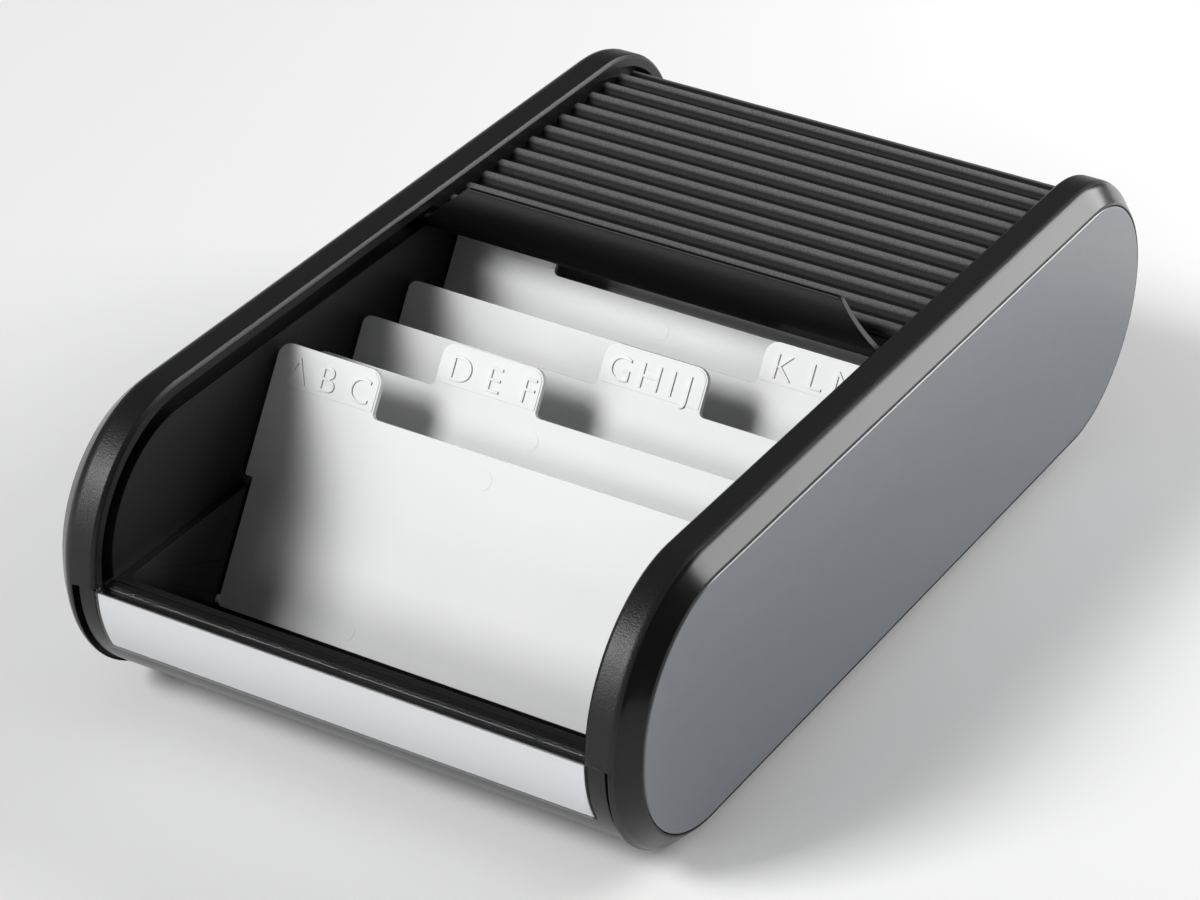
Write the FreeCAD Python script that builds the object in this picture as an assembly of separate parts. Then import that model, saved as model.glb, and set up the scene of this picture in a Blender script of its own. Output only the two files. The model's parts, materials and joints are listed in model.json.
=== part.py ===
"""Roll-top index card drawer: two side cheeks, a card tray, a ribbed shutter and eight leaning dividers.

Millimetres, +Z up. The front is -Y, the width lies along X, and the origin is on the desk under the
middle of the drawer. Heights below are counted from the underside of the rims; put_down() lifts
everything by the part of the rubber feet that stands proud.
"""

import FreeCAD, Part

import math
import os

from FreeCAD import Vector

# Overall size
WIDTH = 136.0
DEPTH = 240.0
HEIGHT = 67.0
FOOT_PROUD = 1.4

# Side outline: one radius for each rounded corner
R_FRONT_TOP = 31.0
R_FRONT_BOTTOM = 34.0
R_BACK = HEIGHT / 2

# Cheeks, as distances from the middle plane and insets from the side outline
CHEEK_INNER = 57.0
CHEEK_WALL = 2.2
RIM_OUTER = 63.8
CHEEK_OUTER = 67.8
RIM_EASE = 0.8
CHAMFER_INSET = 4.2
PLATE_INSET = 4.8
PLATE_THICKNESS = 1.8
PLATE_EDGE = 0.3
CAVITY_INSET = 8.6
PEG_DIAMETER = 3.0
PEG_LENGTH = 4.5
PEG_BOSS = 7.0
PEG_SOCKET = 5.0
PEG_PLACES = [(-62.0, 50.0), (62.0, 50.0), (-62.0, 16.0), (62.0, 16.0)]
FIT_GAP = 0.1

# Shutter track, a slot in each cheek
TRACK_OUTER = 3.0
TRACK_INNER = 6.5
TRACK_DEPTH = 4.0

# Shutter slats, two ribs each
RIB_PITCH = 6.8
RIB_WIDTH = 4.6
RIB_HEIGHT = 1.5
SLAT_PITCH = 2 * RIB_PITCH
SLAT_GAP = 1.3
SLAT_THICKNESS = 1.2
SLAT_COUNT = 16
SLAT_HALF_WIDTH = 56.5
SLAT_INSET = 5.4
SHUTTER_START = 12.4

# Handle at the shutter's front edge
HANDLE_FRONT = 2.6
HANDLE_REACH = 60.4
HANDLE_FOOT = 2.2
HANDLE_BULGE = (0.4, 66.0)
HANDLE_TOP = 73.3
HANDLE_CREST = (1.8, 2.4, 3.2)
HANDLE_CREST_DROP = 0.6
HANDLE_BACK = (2.1, 66.4)
HANDLE_ROOT = 3.4
HANDLE_SHOULDER = 64.0
HANDLE_TOP_HALF = 45.5
HANDLE_SHOULDER_HALF = 55.2
HANDLE_RADII = (0.5, 0.8, 3.0)

# Card tray
TRAY_HALF = 55.0
TRAY_WALL = 2.0
TRAY_FRONT = -111.0
TRAY_BACK = 76.0
TRAY_FLOOR = 8.0
FLOOR_THICKNESS = 1.4
TRAY_TOP = 32.0
TRAY_INSET = 3.6
REAR_WALL_TOP = 46.0
REAR_WALL_GAP = 0.3
CORNER_RADIUS = 3.0

# Front panel, label and window
PANEL_HALF = 61.6
PANEL_INSET = 0.8
PANEL_THICKNESS = 2.4
PANEL_TOP = 32.5
STEP_X = 63.2
STEP_INSET = 3.6
STEP_GAP = 0.4
LEDGE_THICKNESS = 2.4
LEDGE_GAP = 0.3
WINDOW_HALF = 57.0
WINDOW_INSET = 0.3
WINDOW_THICKNESS = 0.6
WINDOW_BOTTOM = 16.9
WINDOW_TOP = 33.0
WINDOW_SHELF = 3.4
WINDOW_END_GAP = 0.5
LABEL_THICKNESS = 0.3
LABEL_MARGIN = 0.15
WEB_THICKNESS = 2.0
WEB_PLACES = [-45.0, 0.0, 45.0]

# Base plate
BASE_HALF = 56.7
BASE_UNDERSIDE = 0.8
BASE_THICKNESS = 1.6
BASE_BACK = 22.0
BASE_TAB = 12.0
BASE_TAB_REACH = 1.8

# Dividers
DIVIDER_COUNT = 8
DIVIDER_PITCH = 18.6
DIVIDER_LEAN = 30.0
DIVIDER_THICKNESS = 1.4
DIVIDER_HEIGHT = 56.4
SHOULDER_HEIGHT = 46.4
LEDGE_HEIGHT = 27.0
DIVIDER_FOOT = 1.3
DIVIDER_LOWER_HALF = 54.6
DIVIDER_UPPER_HALF = 56.6
FIRST_PIN_Y = -79.5
PIN_Z = 9.7
PIN_DIAMETER = 2.0
PIN_LENGTH = 1.8
PIN_HOLE = 2.7
TAB_RAISE = 0.2
TAB_ROOT = 0.4
TAB_SPANS = [(-DIVIDER_UPPER_HALF, -31.0), (-27.4, -2.7), (1.5, 26.2), (29.9, 54.6)]
TAB_RADIUS = 3.0
TAB_FILLET = 1.2
SHOULDER_RADIUS = 2.0
FOOT_RADIUS = 1.0
LEDGE_RADIUS = 0.5

# Screws and feet
SCREW_SHANK = 2.9
SIDE_SCREW_HEAD = 9.6
SIDE_SCREW_HEAD_HEIGHT = 1.8
SIDE_BOSS = 8.0
SLOT_LENGTH = 6.0
SLOT_WIDTH = 1.0
SLOT_FLOOR = 0.8
SHANK_START = 0.6
SIDE_SCREW_PLACES = [(-90.0, 20.0), (-8.0, 20.0), (72.0, 20.0)]
BASE_SCREW_HEAD = 5.6
BASE_BOSS = 7.0
BASE_SCREW_PLACES = [(-42.0, -74.0), (42.0, -74.0), (-42.0, -52.0), (42.0, -52.0)]
FOOT_WIDTH = 5.0
FOOT_LENGTH = 18.0
FOOT_THICKNESS = 2.4
FOOT_X = 60.4
FOOT_Y = 70.0

# Worked out from the sizes above
FRONT_TOP_Y = -DEPTH / 2 + R_FRONT_TOP
FRONT_BOTTOM_Y = -DEPTH / 2 + R_FRONT_BOTTOM
BEND_Y = DEPTH / 2 - R_BACK
BEND_Z = HEIGHT / 2
BEND_RADIUS = R_BACK - SLAT_INSET
BEND_LENGTH = math.pi * BEND_RADIUS
PLATE_SEAT = WIDTH / 2 - PLATE_THICKNESS
FLOOR_UNDERSIDE = TRAY_FLOOR - FLOOR_THICKNESS

# Helpers for cutting and joining: far past the drawer, a small overrun, and a small overlap
FAR = 200.0
OVERRUN = 1.0
OVERLAP = 0.5


def box(x, y, z):
    """Box from three (low, high) pairs."""
    size = [high - low for low, high in (x, y, z)]
    return Part.makeBox(*size, Vector(x[0], y[0], z[0]))


def rod(x, y, places, diameter):
    """Round bars along X from x to y, fused, one for each (y, z) place."""
    bars = [Part.makeCylinder(diameter / 2, y - x, Vector(x, *place), Vector(1, 0, 0)) for place in places]
    return bars[0].fuse(bars[1:]) if len(bars) > 1 else bars[0]


def side_outline(inset, x):
    """Closed outline of the drawer's side in the plane X = x, moved inwards by inset."""
    corners = [
        (BEND_Y, BEND_Z, R_BACK, -90),
        (BEND_Y, BEND_Z, R_BACK, 0),
        (FRONT_TOP_Y, HEIGHT - R_FRONT_TOP, R_FRONT_TOP, 90),
        (FRONT_BOTTOM_Y, R_FRONT_BOTTOM, R_FRONT_BOTTOM, 180),
    ]
    arcs = []
    for y, z, radius, start in corners:
        angles = [math.radians(start + turn) for turn in (0, 45, 90)]
        reach = radius - inset
        arcs.append([Vector(x, y + reach * math.cos(a), z + reach * math.sin(a)) for a in angles])
    edges = []
    for arc, following in zip(arcs, arcs[1:] + arcs[:1]):
        edges.append(Part.Arc(*arc).toShape())
        if arc[2].distanceToPoint(following[0]) > 0.001:
            edges.append(Part.LineSegment(arc[2], following[0]).toShape())
    return Part.Wire(edges)


def slab(inset, x):
    """The side outline, moved inwards by inset, as a solid between the two values of x."""
    return Part.Face(side_outline(inset, x[0])).extrude(Vector(x[1] - x[0], 0, 0))


def ring(outer, inner, x):
    """What lies between two insets of the side outline."""
    return slab(outer, x).cut(slab(inner, x))


def taper(inset_a, x_a, inset_b, x_b):
    """Solid that changes evenly from one inset at x_a to another at x_b."""
    return Part.makeLoft([side_outline(inset_a, x_a), side_outline(inset_b, x_b)], True, True)


def mirrored(shape):
    """The same shape on the left side."""
    return shape.mirror(Vector(0, 0, 0), Vector(1, 0, 0))


def rounded_plate(points, thickness):
    """Plate in the XZ plane from (x, z, corner radius) points, centred on Y = 0."""
    count = len(points)
    edges = []
    previous_end = None
    first_start = None
    for n in range(count):
        here = Vector(points[n][0], 0, points[n][1])
        before = Vector(points[n - 1][0], 0, points[n - 1][1]) - here
        after = Vector(points[(n + 1) % count][0], 0, points[(n + 1) % count][1]) - here
        before.normalize()
        after.normalize()
        half_angle = before.getAngle(after) / 2
        cut_back = points[n][2] / math.tan(half_angle)
        start = here + before * cut_back
        end = here + after * cut_back
        towards = before + after
        towards.normalize()
        depth = points[n][2] / math.sin(half_angle) - points[n][2]
        if previous_end is not None:
            edges.append(Part.LineSegment(previous_end, start).toShape())
        else:
            first_start = start
        if points[n][2] > 0:
            edges.append(Part.Arc(start, here + towards * depth, end).toShape())
        previous_end = end
    edges.append(Part.LineSegment(previous_end, first_start).toShape())
    face = Part.Face(Part.Wire(edges))
    face.translate(Vector(0, -thickness / 2, 0))
    return face.extrude(Vector(0, thickness, 0))


# Housing


def right_cheek():
    """Dished side moulding: inner wall, rim with a wide outer chamfer, and the shutter's slot."""
    shell = taper(RIM_EASE, CHEEK_INNER, 0, CHEEK_INNER + RIM_EASE)
    shell = shell.fuse(slab(0, (CHEEK_INNER + RIM_EASE, RIM_OUTER)))
    shell = shell.fuse(taper(0, RIM_OUTER, CHAMFER_INSET, CHEEK_OUTER))
    shell = shell.cut(slab(PLATE_INSET - FIT_GAP, (PLATE_SEAT, WIDTH)))
    shell = shell.cut(slab(CAVITY_INSET, (CHEEK_INNER + CHEEK_WALL, WIDTH)))
    inside = CHEEK_INNER - OVERRUN
    front_corner = box((0, FAR), (-FAR, FRONT_BOTTOM_Y), (-FAR, PANEL_TOP + STEP_GAP))
    track = ring(TRACK_OUTER, TRACK_INNER, (inside, CHEEK_INNER + TRACK_DEPTH))
    shell = shell.cut(track.cut(front_corner))
    shell = shell.cut(ring(-OVERRUN, STEP_INSET, (inside, STEP_X)).common(front_corner))
    shell = shell.fuse(rod(CHEEK_INNER + OVERRUN, PLATE_SEAT, PEG_PLACES, PEG_BOSS))
    shell = shell.cut(rod(PLATE_SEAT - PEG_SOCKET, WIDTH, PEG_PLACES, PEG_DIAMETER + 2 * FIT_GAP))
    shell = shell.cut(rod(inside, PLATE_SEAT, SIDE_SCREW_PLACES, SIDE_BOSS + 2 * FIT_GAP))
    tab_pocket = box(
        (inside, CHEEK_INNER + BASE_TAB_REACH),
        (BASE_BACK - BASE_TAB - FIT_GAP, BASE_BACK + FIT_GAP),
        (BASE_UNDERSIDE - FIT_GAP, BASE_UNDERSIDE + BASE_THICKNESS + FIT_GAP),
    )
    shell = shell.cut(tab_pocket)
    for place in (-FOOT_Y, FOOT_Y):
        shell = shell.cut(foot_pad(FOOT_X, place))
    return shell.removeSplitter()


def right_side_plate():
    """Smooth plate in the cheek's outer face, with a fine bevel and four pegs behind it."""
    bevel_start = WIDTH / 2 - PLATE_EDGE
    plate = slab(PLATE_INSET, (PLATE_SEAT, bevel_start))
    plate = plate.fuse(taper(PLATE_INSET, bevel_start, PLATE_INSET + PLATE_EDGE, WIDTH / 2))
    plate = plate.fuse(rod(PLATE_SEAT - PEG_LENGTH, PLATE_SEAT, PEG_PLACES, PEG_DIAMETER))
    return plate.removeSplitter()


def card_tray():
    """Open tray with a raised floor, so that the shutter's tail can pass under it."""
    outer = TRAY_HALF + TRAY_WALL
    length = (TRAY_FRONT - TRAY_WALL, TRAY_BACK + TRAY_WALL)
    tray = box((-outer, outer), length, (FLOOR_UNDERSIDE, TRAY_TOP))
    tray = tray.common(slab(TRAY_INSET, (-outer, outer)))
    rear_half = outer - REAR_WALL_GAP
    rear_height = (TRAY_TOP - OVERLAP, REAR_WALL_TOP)
    tray = tray.fuse(box((-rear_half, rear_half), (TRAY_BACK, TRAY_BACK + TRAY_WALL), rear_height))
    inside = box((-TRAY_HALF, TRAY_HALF), (TRAY_FRONT, TRAY_BACK), (TRAY_FLOOR, FAR))
    upright = [edge for edge in inside.Edges if edge.BoundBox.ZLength > CORNER_RADIUS]
    inside = inside.makeFillet(CORNER_RADIUS, upright)
    tray = tray.cut(inside.common(slab(TRAY_INSET + TRAY_WALL, (-outer, outer))))
    bosses = rod(outer - OVERLAP, CHEEK_INNER + CHEEK_WALL, SIDE_SCREW_PLACES, SIDE_BOSS)
    tray = tray.fuse(bosses).fuse(mirrored(bosses))
    for shank in screw_shanks(SIDE_SCREW_PLACES):
        tray = tray.cut(shank).cut(mirrored(shank))
    boss_foot = BASE_UNDERSIDE + BASE_THICKNESS
    boss_height = FLOOR_UNDERSIDE + OVERLAP - boss_foot
    for x, y in BASE_SCREW_PLACES:
        tray = tray.fuse(Part.makeCylinder(BASE_BOSS / 2, boss_height, Vector(x, y, boss_foot)))
    for screw in base_screws():
        tray = tray.cut(screw)
    holes = [(pin_y(n), PIN_Z) for n in range(DIVIDER_COUNT)]
    pin_holes = rod(TRAY_HALF - OVERRUN, outer + OVERRUN, holes, PIN_HOLE)
    return tray.cut(pin_holes).cut(mirrored(pin_holes)).removeSplitter()


def front_panel():
    """Curved front below the opening, with a ledge to the tray, webs behind and a seat for the window."""
    front = box((-FAR, FAR), (-FAR, FRONT_BOTTOM_Y), (-FAR, PANEL_TOP))
    width = (-PANEL_HALF, PANEL_HALF)
    panel = ring(PANEL_INSET, PANEL_INSET + PANEL_THICKNESS, width).common(front)
    half = CHEEK_INNER - LEDGE_GAP
    ledge = box((-half, half), (-FAR, TRAY_FRONT - TRAY_WALL), (TRAY_TOP - LEDGE_THICKNESS, TRAY_TOP))
    panel = panel.fuse(ledge.common(slab(WINDOW_INSET + WINDOW_SHELF, (-half, half))))
    tray_room = box((-FAR, FAR), (TRAY_FRONT - TRAY_WALL, FAR), (FLOOR_UNDERSIDE, FAR))
    for x in WEB_PLACES:
        web = slab(PANEL_INSET + OVERLAP, (x - WEB_THICKNESS / 2, x + WEB_THICKNESS / 2)).common(front)
        panel = panel.fuse(web.cut(tray_room))
    seat_half = WINDOW_HALF + WINDOW_END_GAP
    seat = ring(-OVERRUN, WINDOW_INSET + WINDOW_THICKNESS + LABEL_THICKNESS, (-seat_half, seat_half))
    above = box((-FAR, FAR), (-FAR, FRONT_BOTTOM_Y), (WINDOW_BOTTOM - FIT_GAP, FAR))
    shelf_room = box((-seat_half, seat_half), (-FAR, FRONT_BOTTOM_Y), (TRAY_TOP, FAR))
    return panel.cut(seat.common(above)).cut(shelf_room).removeSplitter()


def label_window():
    """Clear cover over the label, with a shelf on top that reaches back over the ledge."""
    width = (-WINDOW_HALF, WINDOW_HALF)
    band = box((-FAR, FAR), (-FAR, FRONT_BOTTOM_Y), (WINDOW_BOTTOM, WINDOW_TOP))
    pane = ring(WINDOW_INSET, WINDOW_INSET + WINDOW_THICKNESS, width).common(band)
    top = box((-FAR, FAR), (-FAR, FRONT_BOTTOM_Y), (TRAY_TOP, WINDOW_TOP))
    shelf = ring(WINDOW_INSET, WINDOW_INSET + WINDOW_SHELF, width).common(top)
    return pane.fuse(shelf).removeSplitter()


def label_card():
    """Blank paper strip between the window and the panel."""
    inset = WINDOW_INSET + WINDOW_THICKNESS
    half = WINDOW_HALF - LABEL_MARGIN
    strip = ring(inset, inset + LABEL_THICKNESS, (-half, half))
    height = (WINDOW_BOTTOM + LABEL_MARGIN, TRAY_TOP - LABEL_MARGIN)
    return strip.common(box((-FAR, FAR), (-FAR, FRONT_BOTTOM_Y), height))


def base_plate():
    """Flat cover under the front half, hooked into both cheeks at its back end."""
    height = (BASE_UNDERSIDE, BASE_UNDERSIDE + BASE_THICKNESS)
    plate = box((-BASE_HALF, BASE_HALF), (FRONT_BOTTOM_Y, BASE_BACK), height)
    reach = CHEEK_INNER + BASE_TAB_REACH - FIT_GAP
    plate = plate.fuse(box((-reach, reach), (BASE_BACK - BASE_TAB, BASE_BACK), height))
    for screw in base_screws():
        plate = plate.cut(screw)
    return plate.removeSplitter()


# Shutter


def slat_profile():
    """Slat section: u along the track as Y, outwards as Z, with the pitch line at Z = 0."""
    half = (SLAT_PITCH - SLAT_GAP) / 2
    face = SLAT_THICKNESS / 2
    line = [(-half, face), (-half, -face), (half, -face), (half, face)]
    edges = [Part.LineSegment(Vector(0, *a), Vector(0, *b)).toShape() for a, b in zip(line, line[1:])]
    at = half
    for centre in (RIB_PITCH / 2, -RIB_PITCH / 2):
        high, low = centre + RIB_WIDTH / 2, centre - RIB_WIDTH / 2
        edges.append(Part.LineSegment(Vector(0, at, face), Vector(0, high, face)).toShape())
        crest = Vector(0, centre, face + RIB_HEIGHT)
        edges.append(Part.Arc(Vector(0, high, face), crest, Vector(0, low, face)).toShape())
        at = low
    edges.append(Part.LineSegment(Vector(0, at, face), Vector(0, -half, face)).toShape())
    return Part.Face(Part.Wire(edges))


def track_point(travel):
    """Point (y, z) of the shutter's path: forwards part of the top, round the back bend, under the tray."""
    if travel <= BEND_Y:
        return travel, HEIGHT - SLAT_INSET
    turned = (travel - BEND_Y) / BEND_RADIUS
    if turned <= math.pi:
        return BEND_Y + BEND_RADIUS * math.sin(turned), BEND_Z + BEND_RADIUS * math.cos(turned)
    return BEND_Y - (travel - BEND_Y - BEND_LENGTH), SLAT_INSET


def slat(number):
    """One slat of the shutter, with both its ends on the track. Slat 0 is next to the handle."""
    start = track_point(SHUTTER_START + number * SLAT_PITCH)
    end = track_point(SHUTTER_START + (number + 1) * SLAT_PITCH)
    shape = slat_profile().extrude(Vector(2 * SLAT_HALF_WIDTH, 0, 0))
    shape.translate(Vector(-SLAT_HALF_WIDTH, 0, 0))
    angle = math.degrees(math.atan2(end[1] - start[1], end[0] - start[0]))
    shape.rotate(Vector(0, 0, 0), Vector(1, 0, 0), angle)
    shape.translate(Vector(0, (start[0] + end[0]) / 2, (start[1] + end[1]) / 2))
    return shape


def handle_section(low, high, back):
    """Section of the grip fin and of the web behind its foot, as a face in the plane X = 0."""

    def point(setback, z):
        return Vector(0, HANDLE_FRONT + setback, z)

    rise, middle, fall = HANDLE_CREST
    foot = point(HANDLE_FOOT, low)
    front_top = point(rise, HANDLE_TOP - HANDLE_CREST_DROP)
    back_top = point(fall, HANDLE_TOP - HANDLE_CREST_DROP)
    root = point(HANDLE_ROOT, high)
    heel, heel_low = Vector(0, back, high), Vector(0, back, low)
    edges = [
        Part.Arc(foot, point(*HANDLE_BULGE), front_top).toShape(),
        Part.Arc(front_top, point(middle, HANDLE_TOP), back_top).toShape(),
        Part.Arc(back_top, point(*HANDLE_BACK), root).toShape(),
        Part.LineSegment(root, heel).toShape(),
        Part.LineSegment(heel, heel_low).toShape(),
        Part.LineSegment(heel_low, foot).toShape(),
    ]
    return Part.Face(Part.Wire(edges))


def shutter_handle():
    """Front bar of the shutter: a tongue that runs in both slots and a grip fin with sloped ends."""
    pitch_line = HEIGHT - SLAT_INSET
    low, high = pitch_line - SLAT_THICKNESS / 2, pitch_line + SLAT_THICKNESS / 2
    back = SHUTTER_START - SLAT_GAP / 2
    tongue = box((-HANDLE_REACH, HANDLE_REACH), (HANDLE_FRONT + HANDLE_FOOT, back), (low, high))
    fin = handle_section(low, high, back).extrude(Vector(2 * SLAT_HALF_WIDTH, 0, 0))
    fin.translate(Vector(-SLAT_HALF_WIDTH, 0, 0))
    corner, shoulder, top = HANDLE_RADII
    right = [
        (SLAT_HALF_WIDTH, low - OVERRUN, 0),
        (SLAT_HALF_WIDTH, HANDLE_SHOULDER, corner),
        (HANDLE_SHOULDER_HALF, HANDLE_SHOULDER, shoulder),
        (HANDLE_TOP_HALF, HANDLE_TOP, top),
    ]
    left = [(-x, z, radius) for x, z, radius in reversed(right)]
    fin = fin.common(rounded_plate(right + left, FAR))
    return fin.fuse(tongue).removeSplitter()


# Dividers


def pin_y(number):
    """Where the pivot pins of a divider are, along the drawer."""
    return FIRST_PIN_Y + number * DIVIDER_PITCH


def divider_outline(tab_left, tab_right):
    """Outline of a divider: a narrow lower part, a wide upper part and one tab on its top edge."""
    lower, upper = DIVIDER_LOWER_HALF, DIVIDER_UPPER_HALF
    points = [
        (-lower, -DIVIDER_FOOT, FOOT_RADIUS),
        (lower, -DIVIDER_FOOT, FOOT_RADIUS),
        (lower, LEDGE_HEIGHT, LEDGE_RADIUS),
        (upper, LEDGE_HEIGHT, LEDGE_RADIUS),
        (upper, SHOULDER_HEIGHT, LEDGE_RADIUS),
        (tab_right, SHOULDER_HEIGHT, TAB_FILLET),
        (tab_right, DIVIDER_HEIGHT, TAB_RADIUS),
        (tab_left, DIVIDER_HEIGHT, TAB_RADIUS),
    ]
    if tab_left > -upper:
        points.append((tab_left, SHOULDER_HEIGHT, TAB_FILLET))
        points.append((-upper, SHOULDER_HEIGHT, SHOULDER_RADIUS))
    points.append((-upper, LEDGE_HEIGHT, LEDGE_RADIUS))
    points.append((-lower, LEDGE_HEIGHT, LEDGE_RADIUS))
    return points


def divider(number):
    """One index divider, leaning back on its two pins. Tabs step across in four places, twice."""
    tab_left, tab_right = TAB_SPANS[number % len(TAB_SPANS)]
    plate = rounded_plate(divider_outline(tab_left, tab_right), DIVIDER_THICKNESS)
    tab_points = [
        (tab_left, SHOULDER_HEIGHT, LEDGE_RADIUS),
        (tab_right, SHOULDER_HEIGHT, LEDGE_RADIUS),
        (tab_right, DIVIDER_HEIGHT, TAB_RADIUS),
        (tab_left, DIVIDER_HEIGHT, TAB_RADIUS),
    ]
    tab = rounded_plate(tab_points, TAB_RAISE + TAB_ROOT)
    tab.translate(Vector(0, (TAB_ROOT - TAB_RAISE - DIVIDER_THICKNESS) / 2, 0))
    plate = plate.fuse(tab)
    pins = rod(-DIVIDER_LOWER_HALF - PIN_LENGTH, -DIVIDER_LOWER_HALF + OVERLAP, [(0, 0)], PIN_DIAMETER)
    plate = plate.fuse(pins).fuse(mirrored(pins))
    plate.rotate(Vector(0, 0, 0), Vector(1, 0, 0), -DIVIDER_LEAN)
    plate.translate(Vector(0, pin_y(number), PIN_Z))
    return plate.removeSplitter()


# Fasteners and feet


def screw_shanks(places):
    """Shanks of the right-hand screws, which end inside the tray's side wall."""
    start = TRAY_HALF + SHANK_START
    return [rod(start, CHEEK_INNER + CHEEK_WALL, [place], SCREW_SHANK) for place in places]


def right_cheek_screws():
    """Wide-headed screws that clamp the right cheek to the tray, hidden by the side plate."""
    seat = CHEEK_INNER + CHEEK_WALL
    screws = []
    for place, shank in zip(SIDE_SCREW_PLACES, screw_shanks(SIDE_SCREW_PLACES)):
        head = rod(seat, seat + SIDE_SCREW_HEAD_HEIGHT, [place], SIDE_SCREW_HEAD)
        y, z = place
        long, short = SLOT_LENGTH / 2, SLOT_WIDTH / 2
        level = box((seat + SLOT_FLOOR, FAR), (y - long, y + long), (z - short, z + short))
        upright = box((seat + SLOT_FLOOR, FAR), (y - short, y + short), (z - long, z + long))
        screws.append(shank.fuse(head).cut(level.fuse(upright)).removeSplitter())
    return Part.makeCompound(screws)


def base_screws():
    """Countersunk screws that hold the base plate to the tray's bosses."""
    screws = []
    head_height = (BASE_SCREW_HEAD - SCREW_SHANK) / 2
    for x, y in BASE_SCREW_PLACES:
        foot = Vector(x, y, BASE_UNDERSIDE)
        head = Part.makeCone(BASE_SCREW_HEAD / 2, SCREW_SHANK / 2, head_height, foot)
        length = TRAY_FLOOR - OVERLAP - BASE_UNDERSIDE
        screws.append(head.fuse(Part.makeCylinder(SCREW_SHANK / 2, length, foot)).removeSplitter())
    return screws


def foot_pad(x, y):
    """Rubber pad under a rim, let into it and standing proud by FOOT_PROUD."""
    half = FOOT_WIDTH / 2
    straight = FOOT_LENGTH / 2 - half
    low = Vector(0, 0, -FOOT_PROUD)
    height = (-FOOT_PROUD, FOOT_THICKNESS - FOOT_PROUD)
    pad = box((x - half, x + half), (y - straight, y + straight), height)
    for end in (-straight, straight):
        pad = pad.fuse(Part.makeCylinder(half, FOOT_THICKNESS, Vector(x, y + end, 0) + low))
    return pad.removeSplitter()


def put_down(shape, name):
    """Lifts a finished shape onto its feet and writes it as one sub-part."""
    placed = shape.copy()
    placed.translate(Vector(0, 0, FOOT_PROUD))
    placed.exportStep(f"parts/{name}.step")


def main():
    os.makedirs("parts", exist_ok=True)
    cheek = right_cheek()
    plate = right_side_plate()
    screws = right_cheek_screws()
    feet = {"front": -FOOT_Y, "rear": FOOT_Y}
    pieces = {
        "right_cheek": cheek,
        "left_cheek": mirrored(cheek),
        "right_side_plate": plate,
        "left_side_plate": mirrored(plate),
        "right_cheek_screws": screws,
        "left_cheek_screws": mirrored(screws),
        "card_tray": card_tray(),
        "front_panel": front_panel(),
        "label_window": label_window(),
        "label_card": label_card(),
        "base_plate": base_plate(),
        "base_screws": Part.makeCompound(base_screws()),
        "shutter_handle": shutter_handle(),
    }
    for place, y in feet.items():
        pieces[f"{place}_right_foot"] = foot_pad(FOOT_X, y)
        pieces[f"{place}_left_foot"] = foot_pad(-FOOT_X, y)
    for number in range(SLAT_COUNT):
        pieces[f"shutter_slat_{number + 1:02d}"] = slat(number)
    for number in range(DIVIDER_COUNT):
        pieces[f"divider_{number + 1}"] = divider(number)
    for name, shape in pieces.items():
        put_down(shape, name)


main()
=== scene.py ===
"""Looks of the roll-top index card drawer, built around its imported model."""

import json
import logging
import math
from collections.abc import Callable
from dataclasses import dataclass
from enum import Enum

import bmesh
import bpy
from mathutils import Matrix, Vector


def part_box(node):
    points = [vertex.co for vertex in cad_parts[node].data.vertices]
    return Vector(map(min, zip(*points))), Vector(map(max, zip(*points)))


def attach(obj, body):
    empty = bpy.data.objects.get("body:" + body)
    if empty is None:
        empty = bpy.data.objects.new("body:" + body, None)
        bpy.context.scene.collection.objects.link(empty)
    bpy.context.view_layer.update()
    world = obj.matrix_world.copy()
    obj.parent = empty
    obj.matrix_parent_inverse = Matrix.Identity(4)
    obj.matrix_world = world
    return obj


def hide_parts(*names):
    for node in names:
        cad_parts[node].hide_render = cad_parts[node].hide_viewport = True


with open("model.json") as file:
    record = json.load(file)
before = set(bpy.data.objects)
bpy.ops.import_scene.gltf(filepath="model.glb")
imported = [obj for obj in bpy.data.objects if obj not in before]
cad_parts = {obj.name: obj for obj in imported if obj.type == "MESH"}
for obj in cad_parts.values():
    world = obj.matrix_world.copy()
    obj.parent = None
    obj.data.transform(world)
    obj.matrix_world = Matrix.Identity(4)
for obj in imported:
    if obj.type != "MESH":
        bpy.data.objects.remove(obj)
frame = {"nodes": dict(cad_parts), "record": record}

MM = 0.001
MERGE = 0.001 * MM  # how near two points are to count as one
FLAT = math.radians(0.5)  # the widest turn between faces that count as one flat
FACING = 0.9  # how much of a normal points the wanted way
EASE_ANGLE = 30.0  # degrees; sharper edges are rounded
SMOOTH_ANGLE = 35.0  # degrees; duller edges are shaded smoothly
CORNER_FACET = 0.3 * MM
LEAST_FACETS = 5
ROUND_SIDES = 32
LOG = logging.getLogger("card_drawer")
Colour = tuple[float, float, float]
Point = tuple[float, float, float]
Range = tuple[float, float]
Row = tuple[tuple[str, float], ...]


class Look(Enum):
    """The finishes that the drawer's pieces take."""

    CHEEK = "cheek_black"
    SIDE = "side_grey"
    TRAY = "tray_black"
    PANEL = "panel_black"
    WINDOW = "window_clear"
    LABEL = "label_paper"
    SHUTTER = "shutter_black"
    HANDLE = "handle_black"
    DIVIDER = "divider_white"
    FOOT = "foot_rubber"
    SCREW = "screw_steel"


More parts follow.
